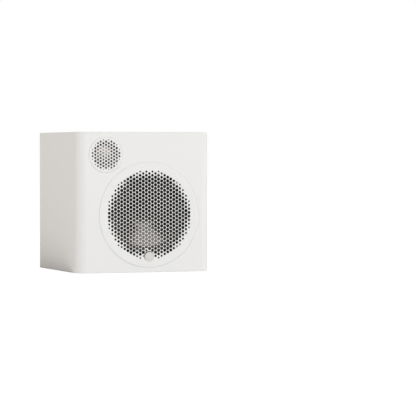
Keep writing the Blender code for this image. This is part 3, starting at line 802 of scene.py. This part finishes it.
def woofer_yoke():
    """Back plate and vented pole."""
    radius, pole_face, back = extent("woofer_yoke", WOOFER)
    vent, pole, plate = 4.0, 12.1, back - 5.0
    yoke = [
        (vent + 0.8, pole_face), (pole - 0.4, pole_face), (pole, pole_face + 0.4), (pole, plate),
        (radius - 0.4, plate), (radius, plate + 0.4), *arc((radius - 1.2, back - 1.2), 1.2, 0, 90, 5),
        (vent + 1.2, back), (vent, back - 1.2), (vent, pole_face + 0.8),
    ]
    standing_for(turned("yoke_vented", yoke, FINE_ROUND, WOOFER), "zinc", "woofer_yoke")


# ---- tweeter


def tweeter_pot():
    """Drawn steel cup round the magnet."""
    radius, mouth, back = extent("tweeter_pot", TWEETER)
    bore, floor = 13.9, 20.5
    pot = [
        (0, back), (0, floor), (bore - 0.5, floor), (bore, floor - 0.5), (bore, mouth + 0.3),
        (bore + 0.3, mouth), (radius - 0.3, mouth), (radius, mouth + 0.3),
        *arc((radius - 1.0, back - 1.0), 1.0, 0, 90, 5),
    ]
    standing_for(turned("pot_drawn", pot, FINE_ROUND, TWEETER), "zinc", "tweeter_pot")


def tweeter_faceplate():
    """A ring with a shallow flare round the dome, and the collar that holds the motor."""
    radius, front, back = extent("tweeter_faceplate", TWEETER)
    flare = [(18.8 - 2.9 * t, front + 2.4 * t**1.8) for t in np.linspace(0, 1, 12)]
    profile = [
        *reversed(flare), (radius - 0.5, front), (radius, front + 0.5), (radius, 8.7), (18.9, 8.7),
        (18.9, back), (17.3, back), (17.3, 9.3), (15.6, 9.3), (15.6, front + 2.6),
    ]
    plate = turned("faceplate", profile, FINE_ROUND, TWEETER)
    cut(plate, *(drill(1.7, 2, 12, 28, axis_of(f"tweeter_screw_{i}", FRONT)) for i in (1, 2, 3)))
    standing_for(plate, "grey_plastic", "tweeter_faceplate")


def tweeter_dome():
    radius, front, back = extent("tweeter_dome", TWEETER)
    sheet = 0.3
    rise = back - sheet - front
    outside = [(radius * s, front + rise * s * s) for s in np.linspace(0, 1, 24)]
    dome = turned("dome", sheeted(outside, sheet), FINE_ROUND, TWEETER)
    standing_for(dome, "dome_metal", "tweeter_dome", body="tweeter_dome_assembly")


def tweeter_surround():
    inner, outer, height, sheet, base = 12.95, 15.3, 1.1, 0.3, 9.5
    front, back = half_roll(inner, outer, base, height, sheet, steps=16, thinned=0.8)
    lip = [(12.9, 9.75), (12.65, 8.8), (12.8, 8.75)]
    profile = [*front, (16.9, 9.7), (16.9, 10.0), *back, *lip]
    surround = turned("dome_surround", profile, FINE_ROUND, TWEETER)
    held = (TWEETER, inner + 0.2, outer - 0.2, "tweeter_dome_assembly")
    bends_round(surround, "grey_rubber", "tweeter_surround", *held)


# ---- rear fittings


def port():
    """Reflex port with a generous flare, open right through."""
    flange_radius, start, flange = extent("port_tube", PORT)
    bore, mouth = 17.0, 25.0
    turn = np.linspace(0, math.pi / 2, 18)
    flare = [(bore + (mouth - bore) * (1 - math.cos(a)), (12 + flange) * math.sin(a) - 12) for a in turn]
    lead_in = arc((bore + 1.0, start + 1.0), 1.0, 270, 180, 5)
    wrap = arc((flange_radius - 1.2, flange - 1.2), 1.2, 90, 0, 6)
    profile = [
        *lead_in, *flare, *wrap, (flange_radius, GAP), (26.2, GAP), (26.2, -1.5), (22.0, -8),
        (bore + 2.2, -14), (bore + 2.0, start + 0.5),
    ]
    standing_for(turned("port", profile, FINE_ROUND, PORT), "black_plastic", "port_tube")


def terminal_tray():
    """A moulded tray with soft edges and a flange, bored for its posts and screws."""
    flange, floor = 2.5, TRAY_FLOOR
    sections = [
        (74, 52, 6, floor - 2.5), (74, 52, 6, GAP), (88, 66, 8, GAP), (88, 66, 8, flange - 0.9),
        (87.5, 65.5, 7.7, flange - 0.25), (86.6, 64.6, 7.3, flange), (71.6, 49.6, 5.8, flange),
        (70.6, 48.6, 5.3, flange - 0.3), (70, 48, 5, flange - 1), (68.4, 46.4, 4.2, floor + 1.2),
        (67.9, 45.9, 3.9, floor + 0.3), (67, 45, 3.5, floor),
    ]
    tray = tapered("terminal_tray", sections, CUP)
    posts, screwed = ("red_post_stud", "black_post_stud"), [f"terminal_screw_{i}" for i in (1, 2, 3, 4)]
    cutters = [drill(3.0, floor - 5, floor + 3, SMALL_ROUND, axis_of(node, REAR)) for node in posts]
    cutters += [drill(1.9, -2, 5, 24, axis_of(node, REAR)) for node in screwed]
    cut(tray, *cutters)
    standing_for(tray, "black_plastic", "terminal_cup")


def binding_post(colour, slot):
    """Stud, washer and knurled cap."""
    origin = axis_of(f"{colour}_post_stud", REAR)
    floor, tip, shaft = TRAY_FLOOR, POST_TIP, 2.5
    thread_start, pitch, root = floor + 2.8, 1.0, shaft - 0.25
    thread = []
    for i in range(int((tip - 1 - thread_start) / pitch)):
        base = thread_start + 0.3 + i * pitch
        thread += [(shaft, base), (shaft, base + 0.35), (root, base + 0.6), (root, base + 0.8)]
    socket = [(shaft, tip - 0.4), (shaft - 0.3, tip), (2.1, tip), (2.0, tip - 0.3), (2.0, -17), (0, -18)]
    profile = [
        (0, floor - 16.5), (shaft - 0.4, floor - 16.5), (shaft, floor - 16.1), (shaft, floor + GAP),
        (5.3, floor + GAP), (5.6, floor + 0.6), (5.6, floor + 2.5), (5.3, thread_start),
        (shaft, thread_start), *thread, *socket,
    ]
    stud = turned(f"{colour}_stud", profile, SMALL_ROUND, origin)
    standing_for(stud, "gilt_brass", f"{colour}_post_stud")

    low, high = floor + 3.1, floor + 4.1
    ring = [(2.95, low), (5.2, low), (5.4, low + 0.2), (5.4, high - 0.2), (5.2, high), (2.95, high)]
    washer = turned(f"{colour}_washer_ring", ring, SMALL_ROUND, origin)
    standing_for(washer, "gilt_brass", f"{colour}_post_washer", body=f"{colour}_washer")
    post_cap(colour, slot, origin, base=floor + 4.4, top=tip + 0.5)


def post_cap(colour, slot, origin, base, top):
    """A cap with rounded flutes between its skirt and its crown."""
    flutes, per_flute = 18, 8
    count = flutes * per_flute
    turn = [math.tau * i / count for i in range(count)]

    def ring(radius, depth, groove=0.0):
        radii = [radius - groove * (0.5 + 0.5 * math.cos(flutes * a)) ** 2 for a in turn]
        return [(r * math.cos(a), depth, r * math.sin(a)) for r, a in zip(radii, turn)]

    bore = 2.95
    skirt = [
        ring(bore, base + 0.3), ring(bore + 0.3, base), ring(6.2, base), ring(6.5, base + 0.3),
        ring(6.5, base + 1.7), ring(6.3, base + 2.0), ring(6.3, base + 2.4),
    ]
    fluted = [ring(6.4, base + 2.8, 0.5), ring(6.4, top - 1.9, 0.6), ring(6.2, top - 1.3, 0.4)]
    crown = [
        ring(5.9, top - 0.7), ring(5.3, top - 0.2), ring(4.6, top),
        ring(bore + 0.3, top), ring(bore, top - 0.3),
    ]
    rings = [*skirt, *fluted, *crown]
    mesh = bmesh.new()
    skin(mesh, [[mesh.verts.new(at(origin, *p)) for p in points] for points in rings], closed=True)
    cap = solid(f"{colour}_cap_knurled", mesh)
    standing_for(cap, slot, f"{colour}_post_cap", body=f"{colour}_cap")


def screws():
    """Pan heads with a cross recess, and a cut thread on the shank."""
    for node, head, shank, facing in (
        *((f"woofer_screw_{i}", 2.1, 1.9, 1) for i in (1, 2, 3, 4)),
        *((f"tweeter_screw_{i}", 1.2, 1.25, 1) for i in (1, 2, 3)),
        *((f"terminal_screw_{i}", 1.4, 1.4, -1) for i in (1, 2, 3, 4)),
    ):
        screw(node, head, shank, facing)


def screw(node, head, shank, facing):
    """Facing is 1 where the head looks out of the front, and -1 at the rear."""
    low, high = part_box(node)
    tip_face, head_face = (high.y, low.y) if facing > 0 else (low.y, high.y)
    radius = (high.z - low.z) / 2 / MM
    length = (tip_face - head_face) / MM * facing
    origin = axis_of(node, head_face)
    profile = [(r, depth * facing) for r, depth in screw_profile(radius, length, head, shank)]
    made = turned(f"{node}_threaded", profile, SMALL_ROUND, origin)
    half_width, half_length = 0.16 * radius, 0.58 * radius
    for x, z in ((half_width, half_length), (half_length, half_width)):
        corners = ((-x, -z), (x, -z), (x, z), (-x, z))
        rings = [[(cx, depth * facing, cz) for cx, cz in corners] for depth in (-1, 0.6 * head)]
        cut(made, lofted("blade", rings, origin))
    standing_for(made, "zinc", node)


def screw_profile(radius, length, head, shank):
    """A round crown, then a thread on a shank that ends in a point."""
    crown = [(radius * math.sin(a), head * (1 - math.cos(a))) for a in np.linspace(0, math.pi / 2, 9)]
    root, pitch = 0.72 * shank, 1.1
    thread = []
    for i in range(int((length - head - 2 * shank) / pitch)):
        thread += [(root, head + (i + 0.1) * pitch), (shank, head + (i + 0.55) * pitch)]
    return [*crown, (root, head), *thread, (root, length - 1.6 * shank), (0, length)]


# ---- inside the cabinet


def wadding():
    """The damping pad and the foam under the crossover, both against a side wall."""
    rows = [(u, v) for u in (-0.6, 0.0, 0.6) for v in (-0.75, -0.25, 0.25, 0.75)]
    pad = soft_slab("damping_wadding", "damping_pad", wall=1, pitch=3.0, lump=1.6, held=rows)
    mount = soft_slab("crossover_foam", "crossover_foam_mount", wall=-1, pitch=2.0, lump=0.2, held=())


def soft_slab(name, node, wall, pitch, lump, held):
    """A crowned slab of fibre or foam in its node's space, with one face against a side wall."""
    low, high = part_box(node)
    middle, half = (low + high) / 2, (high - low) / 2
    reach, inset = half.x - 0.2 * MM, 0.985
    rows, columns = (max(8, round(2 * length / (pitch * MM))) for length in (half.y, half.z))
    mesh = bmesh.new()

    def vertex(i, j, outer):
        u, v = 2 * i / rows - 1, 2 * j / columns - 1
        taper = 1 - 0.035 * abs(u * v) ** 5
        y, z = middle.y + half.y * u * taper * inset, middle.z + half.z * v * taper * inset
        away = loft(u, v, y, z, half, 2 * reach, lump, held) if outer else 0.0
        return mesh.verts.new((middle.x + wall * (reach - away), y, z))

    sheets = [
        [[vertex(i, j, outer) for j in range(columns + 1)] for i in range(rows + 1)]
        for outer in (False, True)
    ]
    for grid in sheets:
        for near, far in zip(grid, grid[1:]):
            for k in range(columns):
                mesh.faces.new((near[k], near[k + 1], far[k + 1], far[k]))
    skin(mesh, [border(grid) for grid in sheets])
    made = solid(name, mesh)
    soft = made.modifiers.new("soft", "SUBSURF")
    soft.levels = soft.render_levels = 1
    apply_modifiers(made)
    return standing_for(made, "grey_foam", node)


def loft(u, v, y, z, half, thick, lump, held):
    """Thickness at (u, v), from -1 to 1 each way: crowned, lumpy, and pinched in where the slab is held."""
    crown = 0.4 + 0.6 * math.sqrt((1 - abs(u) ** 7) * (1 - abs(v) ** 7))
    spread = 9e-5
    pinch = sum(math.exp(-(((u - a) * half.y) ** 2 + ((v - b) * half.z) ** 2) / spread) for a, b in held)
    rough = noise.fractal(Vector((0, y, z)) * 60, 0.8, 2.1, 3) - 0.8
    depth = thick * crown * (1 - 0.45 * min(1, pinch)) + lump * MM * min(0.0, rough)
    return max(depth, 0.25 * thick)


def border(grid):
    """The outer vertices of a grid, in order."""
    first, last = grid[0], grid[-1]
    right = [row[-1] for row in grid[1:-1]]
    left = [row[0] for row in reversed(grid[1:-1])]
    return [*first, *right, *reversed(last), *left]


def eased_blocks():
    """The boards and the cement resistor, their edges broken."""
    for node, edge, slot in (
        ("crossover_board", 0.3, "board_laminate"),
        ("crossover_resistor", 0.9, "ceramic_cement"),
        ("woofer_terminal_strip", 0.3, "board_laminate"),
        ("tweeter_terminal_board", 0.3, "board_laminate"),
    ):
        low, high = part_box(node)
        mesh = bmesh.new()
        bmesh.ops.create_cube(mesh, size=1)
        bmesh.ops.scale(mesh, verts=mesh.verts, vec=high - low)
        bmesh.ops.translate(mesh, verts=mesh.verts, vec=(low + high) / 2)
        bmesh.ops.bevel(mesh, geom=mesh.edges, offset=edge * MM, segments=3, profile=0.5, affect="EDGES")
        standing_for(solid(f"{node}_eased", mesh), slot, node)


def capacitors():
    """Cans with rounded ends that lie along the board. The larger has a rolled groove near one end."""
    for node, groove, slot in (
        ("woofer_capacitor", 0.6, "black_plastic"),
        ("tweeter_capacitor", 0.0, "film_sleeve"),
    ):
        low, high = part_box(node)
        radius, length, soft = (high.z - low.z) / 2 / MM, (high.y - low.y) / MM, 1.0
        origin = axis_of(node, low.y)
        near, far = (radius - soft, soft), (radius - soft, length - soft)
        waist = [(radius - groove * math.sin(a), 3.0 + 0.8 * a) for a in np.linspace(0, math.pi, 9)]
        profile = [(0, 0), *arc(near, soft, -90, 0, 5), *waist, *arc(far, soft, 0, 90, 5), (0, length)]
        standing_for(turned(f"{node}_can", profile, SMALL_ROUND, origin), slot, node)


def inductor(driver):
    """A bobbin with its axis square to the board, wound with layers of enamelled wire."""
    node = f"{driver}_inductor"
    low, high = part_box(node)
    radius, height = (high.z - low.z) / 2 / MM, (high.x - low.x) / MM
    origin = Vector((low.x, (low.y + high.y) / 2, (low.z + high.z) / 2))
    core, sheet, wire = 4.0, 1.4, 1.0
    tube = core + 1.2
    former = [
        (core, 0), (radius - 0.3, 0), (radius, 0.3), (radius, sheet), (tube, sheet), (tube, height - sheet),
        (radius, height - sheet), (radius, height - 0.3), (radius - 0.3, height), (core, height),
    ]
    bobbin = turned(f"{driver}_bobbin", former, SMALL_ROUND, (0, 0, 0))
    count = int((height - 2 * sheet) / wire)
    room = (height - 2 * sheet - count * wire) / 2
    turns = [
        point
        for i in range(count)
        for point in arc((radius - 1.6, sheet + room + (i + 0.5) * wire), 0.48 * wire, -90, 90, 6)
    ]
    inside = [(tube + 0.1, height - sheet - room), (tube + 0.1, sheet + room)]
    winding = turned(f"{driver}_winding", [*turns, *inside], SMALL_ROUND, (0, 0, 0))
    for made, slot in ((bobbin, "black_plastic"), (winding, "copper")):
        made.data.transform(Matrix.Translation(origin) @ Matrix.Rotation(-math.pi / 2, 4, "Z"))
        standing_for(made, slot, node)


# ---- carried-over nodes and stage


def dress_cad_nodes():
    """The CAD nodes that stay get their slot's finish."""
    slots = {row["node"]: row["material_slot"] for row in frame["record"]["subparts"]}
    for name, node in frame["nodes"].items():
        if not node.hide_render:
            finished(node, slots[name])


def stage():
    """A pale floor and backdrop that only the camera sees, over a matt floor that throws light back."""
    level = SHELL_LOW.z - 0.5 * MM
    reach, wall = 12.0, 11.0
    floor = disc("floor", reach, level)
    bounce = disc("bounce_floor", reach, level - 0.5 * MM)
    shade = shaded_ground(level - 0.3 * MM)
    mesh = bmesh.new()
    bmesh.ops.create_uvsphere(mesh, u_segments=48, v_segments=24, radius=wall)
    dome = solid("backdrop", mesh)
    for made, paint, albedo, strength in (
        (floor, "floor_paint", 0.15, 0.92),
        (bounce, "bounce_paint", 0.72, 0.15),
        (shade, "shaded_paint", 0.03, 0.0),
        (dome, "backdrop_paint", 0.0, 1.0),
    ):
        made.data.materials.append(glow(paint, albedo, strength))
    bounce.visible_camera = shade.visible_camera = False
    for seen in (floor, dome):
        seen.visible_diffuse = seen.visible_glossy = False
        seen.visible_shadow = seen.visible_transmission = False


def glow(name, albedo, strength):
    """Matt paint that gives off some light of its own."""
    light = {"Emission_Color": (1, 1, 1, 1), "Emission_Strength": strength}
    return Finish(name, (albedo, albedo, albedo), 0.9, Specular_IOR_Level=0.0, **light).material


def disc(name, radius, height):
    mesh = bmesh.new()
    bmesh.ops.create_circle(mesh, cap_ends=True, segments=64, radius=radius)
    bmesh.ops.translate(mesh, verts=mesh.verts, vec=(0, 0, height))
    return flat(name, mesh)


def shaded_ground(height):
    """The dark strip along the foot of the sides and the rear, where little light gets in."""
    reach = 0.055
    half = WIDTH / 2 * MM
    corners = (
        (-half, FRONT + 0.02), (-half - 0.5 * reach, FRONT + 0.06), (-half - reach, REAR + reach),
        (half + reach, REAR + reach), (half + 0.5 * reach, FRONT + 0.06), (half, FRONT + 0.02),
    )
    mesh = bmesh.new()
    mesh.faces.new([mesh.verts.new((x, y, height)) for x, y in reversed(corners)])
    return flat("shaded_ground", mesh)


def studio_walls(light, above, dark):
    """Light from the walls, less from above, and a dark opening in front of the loudspeaker."""
    world = bpy.data.worlds.new("studio")
    bpy.context.scene.world = world
    world.use_nodes = True
    nodes, links = world.node_tree.nodes, world.node_tree.links
    split = nodes.new("ShaderNodeSeparateXYZ")
    links.new(nodes.new("ShaderNodeTexCoord").outputs["Generated"], split.inputs["Vector"])

    def band(axis, low, high):
        smooth = {"interpolation_type": "SMOOTHSTEP"}
        ramp = new_node(nodes, "ShaderNodeMapRange", **smooth, From_Min=low, From_Max=high)
        links.new(split.outputs[axis], ramp.inputs["Value"])
        return ramp.outputs["Result"]

    def mix(share, first, second):
        made = new_node(nodes, "ShaderNodeMix", data_type="RGBA", A=(*first, 1), B=(*second, 1))
        links.new(share, made.inputs["Factor"])
        return made

    walls = mix(band("Z", 0.3, 0.9), light, above)
    room = mix(band("Y", -0.95, -0.7), dark, light)
    links.new(walls.outputs["Result"], room.inputs["B"])
    links.new(room.outputs["Result"], nodes["Background"].inputs["Color"])


def direction(turn, rise):
    """A unit vector from degrees: turned rightwards from straight back, and raised."""
    turn, rise = math.radians(turn), math.radians(rise)
    return Vector((math.sin(turn) * math.cos(rise), math.cos(turn) * math.cos(rise), math.sin(rise)))


def softbox(name, azimuth, elevation, size, power, colour):
    """A rectangular light that looks at the loudspeaker. Azimuth 0 is in front, and 90 is on the right."""
    data = bpy.data.lights.new(name, "AREA")
    data.shape = "RECTANGLE"
    data.size, data.size_y = size
    data.energy = power
    data.color = colour
    away = direction(azimuth, elevation) * Vector((1, -1, 1))
    made = linked(name, data)
    distance = 3.0
    made.location = away * distance + Vector((0, 0, HEIGHT / 2 * MM))
    made.rotation_euler = away.to_track_quat("Z", "Y").to_euler()
    made.visible_camera = False
    return made


def lighting():
    """A low key and a weak fill light the lacquer, and a high box only shows as sheen on the drivers."""
    studio_walls(light=(1.015, 0.957, 0.882), above=(0.62, 0.62, 0.62), dark=(0.06, 0.06, 0.06))
    key = softbox("key", 3, 6, size=(2.6, 0.8), power=35, colour=(0.938, 0.963, 1.0))
    fill = softbox("fill", 70, 10, size=(2.0, 2.0), power=12, colour=(0.98, 0.99, 1.0))
    key.visible_glossy = fill.visible_glossy = False
    sheen = softbox("sheen", 24, 38, size=(2.8, 2.8), power=350, colour=(1.0, 0.93, 0.87))
    sheen.visible_diffuse = False
    drivers = bpy.data.collections.new("behind_the_grilles")
    for name in ("cone", "dust_cap", "surround", "faceplate", "dome", "dome_surround"):
        drivers.objects.link(bpy.data.objects[name])
    sheen.light_linking.receiver_collection = drivers


def camera():
    """Left of the front, looking slightly down from far off."""
    yaw, pitch = 21.004, -1.4
    from_corner = Vector((-0.945275, -2.974837, 0.168719))
    data = bpy.data.cameras.new("camera")
    data.lens = 191.43
    data.sensor_width = 36.0
    made = linked("camera", data)
    made.location = SHELL_LOW + from_corner
    made.rotation_euler = direction(yaw, pitch).to_track_quat("-Z", "Y").to_euler()
    bpy.context.scene.camera = made
    bpy.context.scene.view_settings.view_transform = "Standard"


def main():
    cabinet_shell()
    rear_board()
    grilles()
    badge()
    woofer_cone()
    woofer_surround()
    woofer_spider()
    woofer_basket()
    motor_rings()
    woofer_yoke()
    tweeter_pot()
    tweeter_faceplate()
    tweeter_dome()
    tweeter_surround()
    port()
    terminal_tray()
    binding_post("red", "red_plastic")
    binding_post("black", "black_plastic")
    screws()
    wadding()
    eased_blocks()
    capacitors()
    inductor("woofer")
    inductor("tweeter")
    dress_cad_nodes()
    stage()
    lighting()
    camera()


main()
